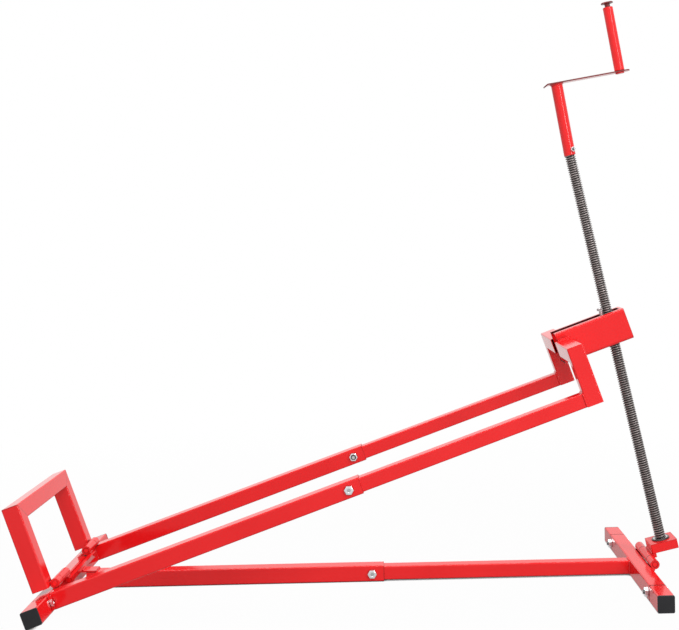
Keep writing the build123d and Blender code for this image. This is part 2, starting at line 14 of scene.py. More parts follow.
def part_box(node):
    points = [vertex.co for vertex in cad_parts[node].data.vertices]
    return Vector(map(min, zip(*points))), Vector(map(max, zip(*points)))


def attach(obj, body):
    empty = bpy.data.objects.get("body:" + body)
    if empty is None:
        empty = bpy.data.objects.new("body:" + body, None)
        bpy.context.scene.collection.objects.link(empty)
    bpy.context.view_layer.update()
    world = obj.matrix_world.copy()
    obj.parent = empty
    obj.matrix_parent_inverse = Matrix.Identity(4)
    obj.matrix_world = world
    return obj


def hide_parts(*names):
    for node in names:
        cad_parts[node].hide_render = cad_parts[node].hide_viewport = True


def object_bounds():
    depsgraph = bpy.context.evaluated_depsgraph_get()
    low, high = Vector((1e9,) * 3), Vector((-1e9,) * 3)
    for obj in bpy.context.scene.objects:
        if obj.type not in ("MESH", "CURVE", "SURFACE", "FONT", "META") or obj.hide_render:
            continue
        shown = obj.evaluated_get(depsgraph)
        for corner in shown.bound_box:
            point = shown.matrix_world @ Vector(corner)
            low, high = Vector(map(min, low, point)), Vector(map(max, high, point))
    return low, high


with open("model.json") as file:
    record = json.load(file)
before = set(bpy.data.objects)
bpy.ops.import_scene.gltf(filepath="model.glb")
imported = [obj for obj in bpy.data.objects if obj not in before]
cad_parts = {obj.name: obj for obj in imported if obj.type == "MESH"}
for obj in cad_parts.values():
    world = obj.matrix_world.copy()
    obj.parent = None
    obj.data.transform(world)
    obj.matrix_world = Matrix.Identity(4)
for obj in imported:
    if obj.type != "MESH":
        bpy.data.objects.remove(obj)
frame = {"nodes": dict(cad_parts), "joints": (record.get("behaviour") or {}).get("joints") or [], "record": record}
CAD_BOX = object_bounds()

bl_info = {
    "name": "Lawn mower lift jack looks",
    "version": (1, 0, 0),
    "blender": (4, 5, 0),
    "location": "View3D > Sidebar > Lift Jack",
    "description": "Finishes, welds, fasteners and stage for a screw-driven lawn mower lift jack",
    "category": "Object",
}

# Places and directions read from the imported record
JOINTS = {joint["name"]: joint for joint in frame["joints"]}
MOUNTS = {mount["name"]: mount for mount in frame["record"]["mounts"]}
SLOTS = {part["node"]: part["material_slot"] for part in frame["record"]["subparts"]}
REAR_HINGE = Vector(JOINTS["arm_lift"]["pos_m"])
FRONT_HINGE = Vector(JOINTS["screw_lean"]["pos_m"])
SCREW_FOOT = Vector(JOINTS["crank_spin"]["pos_m"])
SCREW_AXIS = Vector(JOINTS["crank_spin"]["axis"])
GRIP_FOOT = Vector(JOINTS["grip_spin"]["pos_m"])
GRIP_AXIS = Vector(JOINTS["grip_spin"]["axis"])
ARM_NORMAL = Vector(MOUNTS["load_rest"]["axis"])
FRONT_BAR_X = MOUNTS["floor_rest"]["pos_m"][0]

# Size of the photograph in pixels
PHOTO_WIDTH = 679
PHOTO_HEIGHT = 630

# Camera fitted to the photograph: two values in pixels, three in degrees, a place in metres
FOCAL_PIXELS = 1150.0
AXIS_PIXEL = (420.615, 233.587)
CAMERA_YAW = -1.873
CAMERA_PITCH = -0.278
CAMERA_ROLL = 0.757
CAMERA_PLACE = (0.070377, -2.551486, 0.751657)
SENSOR_WIDTH_MM = 36.0

# Spacing of nodes in a tree's editor
NODE_COLUMN = 210
NODE_ROW = 230
NODES_IN_COLUMN = 4

# Least cosine between a face's normal and an axis for the face to count as square to it
SQUARE_TO_SIDE = 0.7
SQUARE_TO_ARM = 0.9

# Agreement of a rounded and a real normal where an edge starts
EDGE_START = 0.995

# Share of open sky where the painted shade in a hollow starts and where it is darkest
HOLLOW_SHADE_START = 0.75
HOLLOW_SHADE_FULL = 0.3

# Levels over the crank plate's underside, above which the plate's rims and the pin are painted dark as shade
PLATE_SHADE_LEVEL = -0.012
PIN_SHADE_LEVEL = 0.012

# Softboxes: place and size in metres, all turned to one target
KEY_LAMP = ((2.0, -2.4, 1.8), (0.45, 3.0))
FRONT_LAMP = ((-0.2, -3.4, 2.2), (3.0, 2.0))
TOP_LAMP = ((0.1, 0.2, 3.2), (2.4, 2.0))
LAMP_TARGET = Vector((0.05, 0.0, 0.45))

# Floor: half its side and its drop below the jack, in metres
FLOOR_HALF = 30.0
FLOOR_DROP = 0.0003


def leaning(place, up):
    """Frame at a place whose Z follows a direction in the XZ plane and whose Y stays across."""
    across = Vector((0.0, 1.0, 0.0))
    along = across.cross(up).normalized()
    turn = Matrix((along, across, up.normalized())).transposed().to_4x4()
    return Matrix.Translation(place) @ turn


# Frames at the rear hinge, the front hinge, the seat's top and the underside of the crank's plate
LIFT = leaning(REAR_HINGE, ARM_NORMAL)
SEAT = leaning(FRONT_HINGE, SCREW_AXIS)
SCREW = leaning(SCREW_FOOT, SCREW_AXIS)
GRIP = leaning(GRIP_FOOT, GRIP_AXIS)
ARM_AHEAD = LIFT.to_3x3() @ Vector((1.0, 0.0, 0.0))


def colour_setting(name, description, *channels):
    """Colour that a user may change."""
    return FloatVectorProperty(name=name, description=description, subtype="COLOR", size=4, min=0, max=1,
                               default=(*channels, 1.0))


def length_setting(name, description, metres):
    """Length that a user may change."""
    return FloatProperty(name=name, description=description, subtype="DISTANCE", default=metres)


def share_setting(name, description, share):
    """Share from nought to one that a user may change."""
    return FloatProperty(name=name, description=description, min=0, max=1, default=share)


def power_setting(name, description, watts):
    """Lamp power that a user may change."""
    return FloatProperty(name=name, description=description, subtype="POWER", default=watts)


class JackPaint(bpy.types.PropertyGroup):
    """Powder coat on the welded steel."""

    red: colour_setting("Red", "Colour of the powder coat", 0.85, 0.011, 0.013)
    deep_red: colour_setting("Deep red", "Colour where the film is thickest", 0.80, 0.010, 0.012)
    # Painted shade along the edges, where the film also draws back from them
    edge_shade_red: colour_setting("Edge red", "Colour where the film draws back from an edge", 0.24, 0.003, 0.004)
    # Painted shade: the colour mixed in deep in gaps and corners
    hollow_shade_red: colour_setting("Hollow red", "Colour deep in gaps and corners", 0.07, 0.002, 0.003)
    # Painted shade on the crank's rims and on the grip pin's head
    rim_shade_red: colour_setting("Rim red", "Colour of the thin film on the crank's rims", 0.10, 0.022, 0.022)
    gloss: share_setting("Roughness", "Roughness of the clean film", 0.12)
    ior: FloatProperty(name="Film index", description="Refractive index of the film", min=1, max=2,
                       default=1.42)
    film_size: length_setting("Film size", "Width of the slow tone changes", 0.11)
    peel_size: length_setting("Orange peel size", "Width of the ripples in the film", 0.0028)
    peel_height: length_setting("Orange peel height", "Height of the ripples in the film", 0.00002)
    nib_size: length_setting("Nib size", "Distance between the dust nibs in the film", 0.0045)
    nib_height: length_setting("Nib height", "Height of the dust nibs in the film", 0.00004)
    edge_width: length_setting("Edge width", "Width of the darker edges", 0.0028)
    edge_run: length_setting("Edge run", "Length of the lighter and darker runs along an edge", 0.03)
    # Reaches of the painted shade in gaps, on welds and inside the nut channel
    hollow_shade_reach: length_setting("Hollow reach", "How near a face must be to shade a gap", 0.007)
    weld_reach: length_setting("Weld reach", "Hollow reach on welds, uprights and inner arm tubes", 0.0006)
    channel_reach: length_setting("Channel reach", "Hollow reach inside the nut channel", 0.05)
    # Painted shade at an open seam
    seam_width: length_setting("Seam width", "Half width of the dark line at an open seam", 0.0014)


class JackMetal(bpy.types.PropertyGroup):
    """Bare, plated and plastic finishes."""

    zinc: colour_setting("Zinc", "Colour of the plated fasteners", 0.88, 0.90, 0.92)
    cloudy_zinc: colour_setting("Cloudy zinc", "Colour of the plating's clouds", 0.68, 0.70, 0.71)
    # Painted shade and red reflections on the nut's guide bolt, in place of plain zinc
    dull_zinc: colour_setting("Dull zinc", "Colour of the nut's oily guide bolt", 0.42, 0.34, 0.34)
    shaded_guide_cloud: colour_setting("Oily zinc", "Colour of the guide bolt's clouds", 0.26, 0.20, 0.20)
    # Painted highlight on the fasteners' edges
    rim: colour_setting("Zinc rim", "Colour of the fasteners' polished edges", 0.95, 0.96, 0.97)
    cut_root: colour_setting("Cut root", "Darkest colour of the fasteners' threads", 0.05, 0.05, 0.05)
    cut_crest: colour_setting("Cut crest", "Palest colour of the fasteners' threads", 0.16, 0.16, 0.16)
    phosphate: colour_setting("Phosphate", "Colour of the screw between its crests", 0.016, 0.013, 0.012)
    phosphate_speck: colour_setting("Specks", "Colour of the screw's paler specks", 0.05, 0.042, 0.04)
    crest: colour_setting("Crest", "Colour of the rubbed thread crests", 0.44, 0.39, 0.38)
    steel: colour_setting("Steel", "Colour of oiled steel", 0.33, 0.32, 0.32)
    oily_steel: colour_setting("Oily steel", "Colour of steel under a thick oil film", 0.20, 0.18, 0.17)
    # Painted highlight and painted shade on the turned steel
    highlight_ring: colour_setting("Bright ring", "Colour of the turned ring on oiled steel", 0.80, 0.78, 0.77)
    shaded_steel_rim: colour_setting("Steel rim", "Colour of the dark rim of oiled steel", 0.06, 0.05, 0.05)
    plastic: colour_setting("Cap plastic", "Colour of the end caps", 0.016, 0.016, 0.018)
    plastic_cloud: colour_setting("Cap cloud", "Colour of the end caps' darker clouds", 0.012, 0.012, 0.014)
    plastic_rim: colour_setting("Cap rim", "Colour of the end caps' rubbed rims", 0.05, 0.05, 0.054)


class JackScrew(bpy.types.PropertyGroup):
    """Sizes of the lifting screw, measured along its axis from the seat's top."""

    diameter: length_setting("Diameter", "Over the crests", 0.024)
    depth: length_setting("Thread depth", "From crest to root", 0.00275)
    pitch: length_setting("Pitch", "Rise in one turn", 0.005)
    turns: IntProperty(name="Turns", description="Number of thread turns", default=175)
    journal: length_setting("Journal", "Diameter of the plain ends", 0.0179)
    foot: length_setting("Foot", "Lower end of the lower journal", -0.020)
    top: length_setting("Thread top", "Upper end of the thread", 0.8782)
    spigot: length_setting("Spigot", "Length above the thread", 0.040)
    chamfer: length_setting("Chamfer", "Bevel at both ends", 0.0008)
    columns: IntProperty(name="Columns", description="Faces round the screw", default=32)


class JackGrip(bpy.types.PropertyGroup):
    """Loose sleeve of the crank, measured along its pin from the plate's underside."""

    diameter: length_setting("Diameter", "Over the sleeve", 0.0225)
    bore: length_setting("Bore", "Hole for the pin", 0.0121)
    start: length_setting("Start", "Lower end of the sleeve", 0.0034)
    length: length_setting("Length", "Length of the sleeve", 0.1444)
    rim: length_setting("Rim", "Radius of the eased rims", 0.0015)
    columns: IntProperty(name="Columns", description="Faces round the sleeve", default=72)


class JackTubes(bpy.types.PropertyGroup):
    """Tube sizes that the welds and fasteners follow."""

    tube: length_setting("Tube", "Side of the outer tube", 0.035)
    slide: length_setting("Slide tube", "Side of the inner tube", 0.030)
    spacing: length_setting("Arm spacing", "Between arm centre lines", 0.36)
    reach: length_setting("Arm reach", "Rear end of the arms to the uprights", 1.1577)
    upright: length_setting("Upright height", "Over the top bar", 0.1304)
    inset: length_setting("Channel inset", "Channel ahead of the uprights' rear faces", 0.0055)
    channel: length_setting("Channel width", "Over the nut channel", 0.068)
    slot: length_setting("Channel slot", "Slot in the nut channel", 0.0367)
    barrel: length_setting("Hinge barrel", "Diameter of the barrels", 0.020)
    ahead: length_setting("Hinge ahead", "Hinge ahead of the arms' rear ends", 0.006)
    barrel_start: length_setting("Barrel start", "Inner end of the frame's hinge barrels", 0.140)
    barrel_end: length_setting("Barrel end", "Outer end of the frame's hinge barrels", 0.165)
    socket: length_setting("Socket", "Diameter of the crank's socket", 0.026)
    socket_bolt_turn: FloatProperty(name="Socket bolt turn", description="Turn of the bolt round the socket",
                                    subtype="ANGLE", default=math.radians(207.0))


class JackWelds(bpy.types.PropertyGroup):
    """Fillet welds under the paint."""

    bead: length_setting("Bead radius", "Half width of a weld", 0.0018)
    upright_bead: length_setting("Upright bead", "Half width of a weld at the uprights", 0.0026)
    ripple: length_setting("Ripple", "Distance between ripples", 0.0026)
    swell: share_setting("Swell", "Share of the radius that ripples", 0.16)
    stand: length_setting("Stand", "Distance of a bead's middle from the face beside it", 0.0004)


class JackStage(bpy.types.PropertyGroup):
    """Floor, lamps and surroundings."""

    floor: colour_setting("Floor", "Colour of the floor", 0.30, 0.30, 0.30)
    whiteness: share_setting("Floor whiteness", "Share of plain white seen on the floor by the jack", 0.98)
    mirrored: share_setting("Floor in reflections", "Share of plain white in the floor's reflection", 0.5)
    near: length_setting("Near floor", "Distance at which the floor starts to turn to plain white", 0.8)
    far: length_setting("Far floor", "Distance at which the floor is plain white", 2.2)
    # Painted contact shadow on the floor
    contact_shadow: length_setting("Contact", "Reach of the dark line where the jack meets the floor", 0.008)
    surround: FloatProperty(name="Surround", description="Strength of the room's diffuse light", min=0,
                            default=0.5)
    key_power: power_setting("Key", "Power of the front right softbox", 44.0)
    front_power: power_setting("Front", "Power of the wide front softbox", 56.0)
    top_power: power_setting("Top", "Power of the overhead softbox", 56.0)


class Nodes:
    """Adds nodes to one tree and links the sockets that are given as values."""

    def __init__(self, tree):
        self.tree = tree
        self.count = 0

    def add(self, kind, inputs=None, **settings):
        """Add a node, set its properties, and fill or link its inputs by name or number."""
        node = self.tree.nodes.new(kind)
        column, row = divmod(self.count, NODES_IN_COLUMN)
        node.location = (NODE_COLUMN * column, -NODE_ROW * row)
        self.count += 1
        for key, value in settings.items():
            setattr(node, key, value)
        for key, value in (inputs or {}).items():
            self.fill(node.inputs[key], value)
        return node

    def fill(self, socket, value):
        """Link an input to another socket or set its value."""
        if isinstance(value, bpy.types.NodeSocket):
            self.tree.links.new(value, socket)
        else:
            socket.default_value = value

    def math(self, operation, first, second=0.0, third=0.0):
        """One arithmetic step."""
        node = self.add("ShaderNodeMath", {0: first, 1: second, 2: third}, operation=operation)
        return node.outputs[0]

    def measure(self, operation, first, second=(0.0, 0.0, 0.0)):
        """Length of a vector or dot product of two."""
        node = self.add("ShaderNodeVectorMath", {0: first, 1: second}, operation=operation)
        return node.outputs["Value"]

    def within(self, value, low, high, start=0.0, end=1.0):
        """Map a value from one range to another, clamped."""
        names = {"Value": value, "From Min": low, "From Max": high, "To Min": start, "To Max": end}
        return self.add("ShaderNodeMapRange", names).outputs["Result"]


class Finish(Nodes):
    """A material made of nodes round one shader."""

    def __init__(self, name):
        self.material = bpy.data.materials.new(name)
        self.material.use_nodes = True
        super().__init__(self.material.node_tree)
        self.tree.nodes.clear()
        self.shader = self.add("ShaderNodeBsdfPrincipled")
        self.add("ShaderNodeOutputMaterial", {"Surface": self.shader.outputs["BSDF"]})
        self.place = self.add("ShaderNodeTexCoord").outputs["Object"]

    def drive(self, name, value):
        """Link or set one shader input."""
        self.fill(self.shader.inputs[name], value)

    def noise(self, size, detail):
        """Soft noise whose features are about one size across."""
        inputs = {"Vector": self.place, "Scale": 1.0 / size, "Detail": detail}
        return self.add("ShaderNodeTexNoise", inputs).outputs["Fac"]

    def mix(self, share, first, second):
        """Mix two colours."""
        node = self.add("ShaderNodeMix", {0: share, 6: first, 7: second}, data_type="RGBA")
        return node.outputs[2]

    def facing(self):
        """Normal of the face."""
        return self.add("ShaderNodeNewGeometry").outputs["Normal"]

    def across(self, vector):
        """Size of a vector's part across the jack."""
        return self.math("ABSOLUTE", self.add("ShaderNodeSeparateXYZ", {0: vector}).outputs["Y"])

    def edges(self, width, full=0.94):
        """Share of edge: where a rounded normal leaves the real one."""
        rounded = self.add("ShaderNodeBevel", {"Radius": width}, samples=6).outputs["Normal"]
        agree = self.measure("DOT_PRODUCT", rounded, self.facing())
        return self.within(agree, EDGE_START, full)

    def hollow_shade(self, reach):
        """Share of painted shade: nought in the open, one deep in a gap or corner."""
        clear = self.add("ShaderNodeAmbientOcclusion", {"Distance": reach}, samples=8).outputs["AO"]
        return self.within(clear, HOLLOW_SHADE_START, HOLLOW_SHADE_FULL)

    def from_axis(self):
        """Distance from the lifting screw's axis."""
        lean = math.atan2(-SCREW_AXIS.x, SCREW_AXIS.z)
        place = SCREW.inverted().to_translation()
        inputs = {"Vector": self.place, "Location": place, "Rotation": (0.0, lean, 0.0)}
        local = self.add("ShaderNodeMapping", inputs).outputs["Vector"]
        inputs = {0: local, 1: (1.0, 1.0, 0.0)}
        flat = self.add("ShaderNodeVectorMath", inputs, operation="MULTIPLY").outputs["Vector"]
        return self.measure("LENGTH", flat)

    def bump(self, *layers):
        """Stack bumps given as (height socket, distance, strength)."""
        normal = None
        for height, distance, strength in layers:
            inputs = {"Height": height, "Distance": distance, "Strength": strength}
            if normal:
                inputs["Normal"] = normal
            normal = self.add("ShaderNodeBump", inputs).outputs["Normal"]
        self.drive("Normal", normal)


def seam_shade(coat, seam, width):
    """Painted shade: a dark line at an open seam across Y."""
    across = coat.add("ShaderNodeSeparateXYZ", {0: coat.place}).outputs["Y"]
    away = coat.math("ABSOLUTE", coat.math("SUBTRACT", across, seam))
    return coat.within(away, width, width / 2)


def slot_shade(coat, slot):
    """Painted shade on the nut channel's sheared edges: the sides of its slot and its open ends."""
    margin = 0.0005
    normal = coat.facing()
    sideways = coat.math("GREATER_THAN", coat.across(normal), SQUARE_TO_SIDE)
    inside = coat.math("LESS_THAN", coat.across(coat.place), slot / 2 + margin)
    along = coat.math("ABSOLUTE", coat.measure("DOT_PRODUCT", normal, ARM_AHEAD))
    end = coat.math("GREATER_THAN", along, SQUARE_TO_ARM)
    return coat.math("MAXIMUM", coat.math("MULTIPLY", sideways, inside), end)


def red_powder_coat(name, paint, reach, edge_width, extra=None, *sizes):
    """Glossy red film with orange peel and slow tones, with painted shade on edges, in gaps and in an extra mask.
    """
    coat = Finish(name)
    coat.drive("IOR", paint.ior)
    film = coat.noise(paint.film_size, 3.0)
    peel = coat.noise(paint.peel_size, 1.5)
    nibs = coat.within(coat.noise(paint.nib_size, 0.0), 0.72, 0.78)
    colour = coat.mix(coat.within(film, 0.35, 0.75), paint.red, paint.deep_red)
    # Painted shade along the edges, where the film also draws back
    if edge_width:
        drawn = coat.within(coat.noise(paint.edge_run, 3.0), 0.3, 0.7, 0.45, 0.85)
        edge = coat.math("MULTIPLY", coat.edges(edge_width), drawn)
        colour = coat.mix(edge, colour, paint.edge_shade_red)
    # Painted shade in gaps and corners, and in the extra mask
    shade = coat.hollow_shade(reach)
    if extra:
        shade = coat.math("MAXIMUM", shade, extra(coat, *sizes))
    coat.drive("Base Color", coat.mix(shade, colour, paint.hollow_shade_red))
    rough = coat.within(film, 0.3, 0.7, paint.gloss - 0.03, paint.gloss + 0.04)
    coat.drive("Roughness", coat.math("MULTIPLY_ADD", shade, 0.8, rough))
    coat.bump((peel, paint.peel_height, 0.02), (nibs, paint.nib_height, 0.02))
    return coat.material


def rim_shade_coat(name, paint, lowest, all_faces):
    """Red film with painted shade above a level counted from the crank's plate, on rims only or on all faces."""
    coat = Finish(name)
    coat.drive("IOR", paint.ior)
    film = coat.noise(paint.edge_run, 3.0)
    level = coat.measure("DOT_PRODUCT", coat.place, GRIP_AXIS)
    # Painted shade on the plate's rims and the pin's head, above a level
    thin = coat.math("GREATER_THAN", level, GRIP_AXIS.dot(GRIP_FOOT) + lowest)
    if not all_faces:
        along = coat.math("ABSOLUTE", coat.measure("DOT_PRODUCT", coat.facing(), GRIP_AXIS))
        thin = coat.math("MULTIPLY", thin, coat.within(along, 0.8, 0.4))
    thin = coat.math("MULTIPLY", thin, coat.within(film, 0.3, 0.7, 0.8, 1.0))
    coat.drive("Base Color", coat.mix(thin, paint.red, paint.rim_shade_red))
    coat.drive("Roughness", coat.within(thin, 0.0, 1.0, paint.gloss, 0.4))
    coat.bump((coat.noise(paint.peel_size, 1.5), paint.peel_height, 0.02))
    return coat.material


def zinc_plate(name, metal, clean, cloudy, rim):
    """Zinc plate with a faint cloudy tint, fine scratches and painted highlights on its edges, darker on cut
    threads and in a head's dish.
    """
    plate = Finish(name)
    plate.drive("Metallic", 1.0)
    cloud = plate.noise(0.006, 3.0)
    grain = plate.noise(0.0005, 2.0)
    edge = plate.edges(0.0011, 0.93)
    cut = plate.add("ShaderNodeAttribute", attribute_name="cut").outputs["Fac"]
    tint = plate.mix(plate.within(cloud, 0.35, 0.7), clean, cloudy)
    # Painted highlight along the edges
    bright = plate.mix(edge, tint, rim)
    dark = plate.mix(plate.within(grain, 0.35, 0.65), metal.cut_root, metal.cut_crest)
    plate.drive("Base Color", plate.mix(cut, bright, dark))
    plate.drive("Roughness", plate.within(cloud, 0.3, 0.75, 0.2, 0.36))
    plate.bump((grain, 0.00003, 0.25))
    return plate.material


def phosphated_screw(name, metal, crest_radius):
    """Dark oiled phosphate in the roots and rubbed steel on the thread crests."""
    steel = Finish(name)
    worn, worn_fade = 0.00005, 0.0005
    cloud = steel.noise(0.012, 4.0)
    speck = steel.noise(0.0009, 2.0)
    crest = steel.within(steel.from_axis(), crest_radius - worn_fade, crest_radius - worn)
    rubbed = steel.math("MULTIPLY", crest, steel.within(cloud, 0.3, 0.6, 0.45, 1.0))
    dull = steel.mix(steel.within(speck, 0.3, 0.7), metal.phosphate, metal.phosphate_speck)
    steel.drive("Base Color", steel.mix(rubbed, dull, metal.crest))
    steel.drive("Metallic", steel.within(rubbed, 0.0, 1.0, 0.1, 0.9))
    steel.drive("Roughness", steel.within(speck, 0.25, 0.8, 0.32, 0.55))
    steel.bump((speck, 0.00006, 0.4))
    return steel.material


def oiled_steel(name, metal):
    """Turned steel with an oily film, a painted highlight ring on its face and a painted shaded rim."""
    steel = Finish(name)
    steel.drive("Metallic", 1.0)
    radius = steel.from_axis()
    ring_start, ring_end, fade, rim_start = 0.0132, 0.0166, 0.0006, 0.0168
    # Painted highlight ring round the screw's axis, and painted shade that darkens the steel outside it
    ring = steel.within(radius, ring_start, ring_start + fade)
    ring = steel.math("MULTIPLY", ring, steel.within(radius, ring_end, ring_end - fade))
    inside = steel.within(radius, ring_end - fade, rim_start, 1.0, 0.25)
    cloud = steel.noise(0.009, 4.0)
    grain = steel.noise(0.0006, 2.0)
    colour = steel.mix(steel.within(cloud, 0.35, 0.7), metal.steel, metal.oily_steel)
    colour = steel.mix(steel.math("MULTIPLY", ring, 0.7), colour, metal.highlight_ring)
    steel.drive("Base Color", steel.mix(inside, metal.shaded_steel_rim, colour))
    steel.drive("Roughness", steel.within(cloud, 0.3, 0.75, 0.26, 0.44))
    steel.bump((grain, 0.00004, 0.3))
    return steel.material


def cap_plastic(name, metal):
    """Moulded black plastic with a fine spark-eroded grain and paler rubbed rims."""
    plastic = Finish(name)
    plastic.drive("IOR", 1.36)
    grain = plastic.noise(0.0007, 2.0)
    cloud = plastic.noise(0.02, 3.0)
    edge = plastic.math("MULTIPLY", plastic.edges(0.0012), 0.5)
    colour = plastic.mix(plastic.within(cloud, 0.35, 0.7), metal.plastic, metal.plastic_cloud)
    plastic.drive("Base Color", plastic.mix(edge, colour, metal.plastic_rim))
    plastic.drive("Roughness", plastic.within(grain, 0.3, 0.7, 0.42, 0.56))
    plastic.bump((grain, 0.00008, 0.5))
    return plastic.material


FINISHES = {}


def finish(name, maker, *settings):
    """Make a named finish once and share it between the pieces."""
    if name not in FINISHES:
        FINISHES[name] = maker(name, *settings)
    return FINISHES[name]


def red(scene):
    """Powder coat of most pieces."""
    paint = scene.jack_paint
    return finish("red_powder_coat", red_powder_coat, paint, paint.hollow_shade_reach, paint.edge_width)


def weld_red(scene):
    """Powder coat without darker edges, for the weld beads and the tubes that they run into."""
    paint = scene.jack_paint
    return finish("weld_powder_coat", red_powder_coat, paint, paint.weld_reach, 0.0)


def channel_red(scene):
    """Powder coat of the nut channel, with painted shade inside and on its sheared edges."""
    paint = scene.jack_paint
    return finish("channel_powder_coat", red_powder_coat, paint, paint.channel_reach, paint.edge_width,
                  slot_shade, scene.jack_tubes.slot)


def seam_red(scene):
    """Powder coat with a painted shaded line at the seam between the front crossbar and its near foot."""
    paint = scene.jack_paint
    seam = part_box("front_crossbar")[0][1]
    return finish("seam_powder_coat", red_powder_coat, paint, paint.hollow_shade_reach, paint.edge_width,
                  seam_shade, seam, paint.seam_width)


def zinc(scene):
    """Bright plating of the bolts and nuts."""
    metal = scene.jack_metal
    return finish("bright_zinc", zinc_plate, metal, metal.zinc, metal.cloudy_zinc, metal.rim)


def dress(node, material):
    """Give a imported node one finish."""
    slots = frame["nodes"][node].data.materials
    slots.clear()
    slots.append(material)


def smooth(mesh, sharp):
    """Shade a mesh smooth, apart from edges sharper than an angle in degrees."""
    mesh.polygons.foreach_set("use_smooth", [True] * len(mesh.polygons))
    mesh.set_sharp_from_angle(angle=math.radians(sharp))


def solid_mesh(name, source, material, sharp):
    """Turn an evaluated source object into a finished mesh object and remove the source."""
    graph = bpy.context.evaluated_depsgraph_get()
    mesh = bpy.data.meshes.new_from_object(source.evaluated_get(graph))
    leftover = source.data
    bpy.data.objects.remove(source)
    if isinstance(leftover, bpy.types.Mesh):
        bpy.data.meshes.remove(leftover)
    else:
        bpy.data.curves.remove(leftover)
    mesh.name = name
    mesh.materials.clear()
    mesh.materials.append(material)
    mesh.polygons.foreach_set("material_index", [0] * len(mesh.polygons))
    smooth(mesh, sharp)
    piece = bpy.data.objects.new(name, mesh)
    bpy.context.scene.collection.objects.link(piece)
    return piece


def grow(data, name, tree, values):
    """Object with one geometry tree on it, its inputs set by name."""
    source = bpy.data.objects.new(name, data)
    bpy.context.scene.collection.objects.link(source)
    modifier = source.modifiers.new(name, "NODES")
    modifier.node_group = tree
    for item in tree.interface.items_tree:
        if item.item_type == "SOCKET" and item.in_out == "INPUT" and item.name in values:
            modifier[item.identifier] = values[item.name]
    return source


def geometry_tree(name, inputs):
    """Empty geometry tree with named inputs and a material; returns its nodes and input sockets."""
    tree = bpy.data.node_groups.new(name, "GeometryNodeTree")
    tree.interface.new_socket("Geometry", in_out="INPUT", socket_type="NodeSocketGeometry")
    for label, kind in inputs.items():
        tree.interface.new_socket(label, in_out="INPUT", socket_type=kind)
    tree.interface.new_socket("Material", in_out="INPUT", socket_type="NodeSocketMaterial")
    tree.interface.new_socket("Geometry", in_out="OUTPUT", socket_type="NodeSocketGeometry")
    nodes = Nodes(tree)
    return nodes, nodes.add("NodeGroupInput").outputs


def close_tree(nodes, given, shape):
    """End a geometry tree: make instances real, set the material and link the output."""
    shape = nodes.add("GeometryNodeRealizeInstances", {"Geometry": shape}).outputs[0]
    inputs = {"Geometry": shape, "Material": given["Material"]}
    shape = nodes.add("GeometryNodeSetMaterial", inputs).outputs[0]
    nodes.add("NodeGroupOutput", {0: shape})
    return nodes.tree


def pick(nodes, number, values):
    """Choose one of several values by a whole number."""
    node = nodes.add("GeometryNodeIndexSwitch", data_type="FLOAT")
    while len(node.index_switch_items) < len(values):
        node.index_switch_items.new()
    for i, value in enumerate((number, *values)):
        nodes.fill(node.inputs[i], value)
    return node.outputs[0]


# Rounded trapezium thread: share of the pitch and share of the depth at each corner
THREAD_ALONG = (0.06, 0.28, 0.3605, 0.4795, 0.56, 0.78, 0.8605, 0.9795)
THREAD_DOWN = (0.0, 0.0, 0.13, 0.87, 1.0, 1.0, 0.87, 0.13)

# Rows of the grid that form a plain end of the screw
END_ROWS = 4


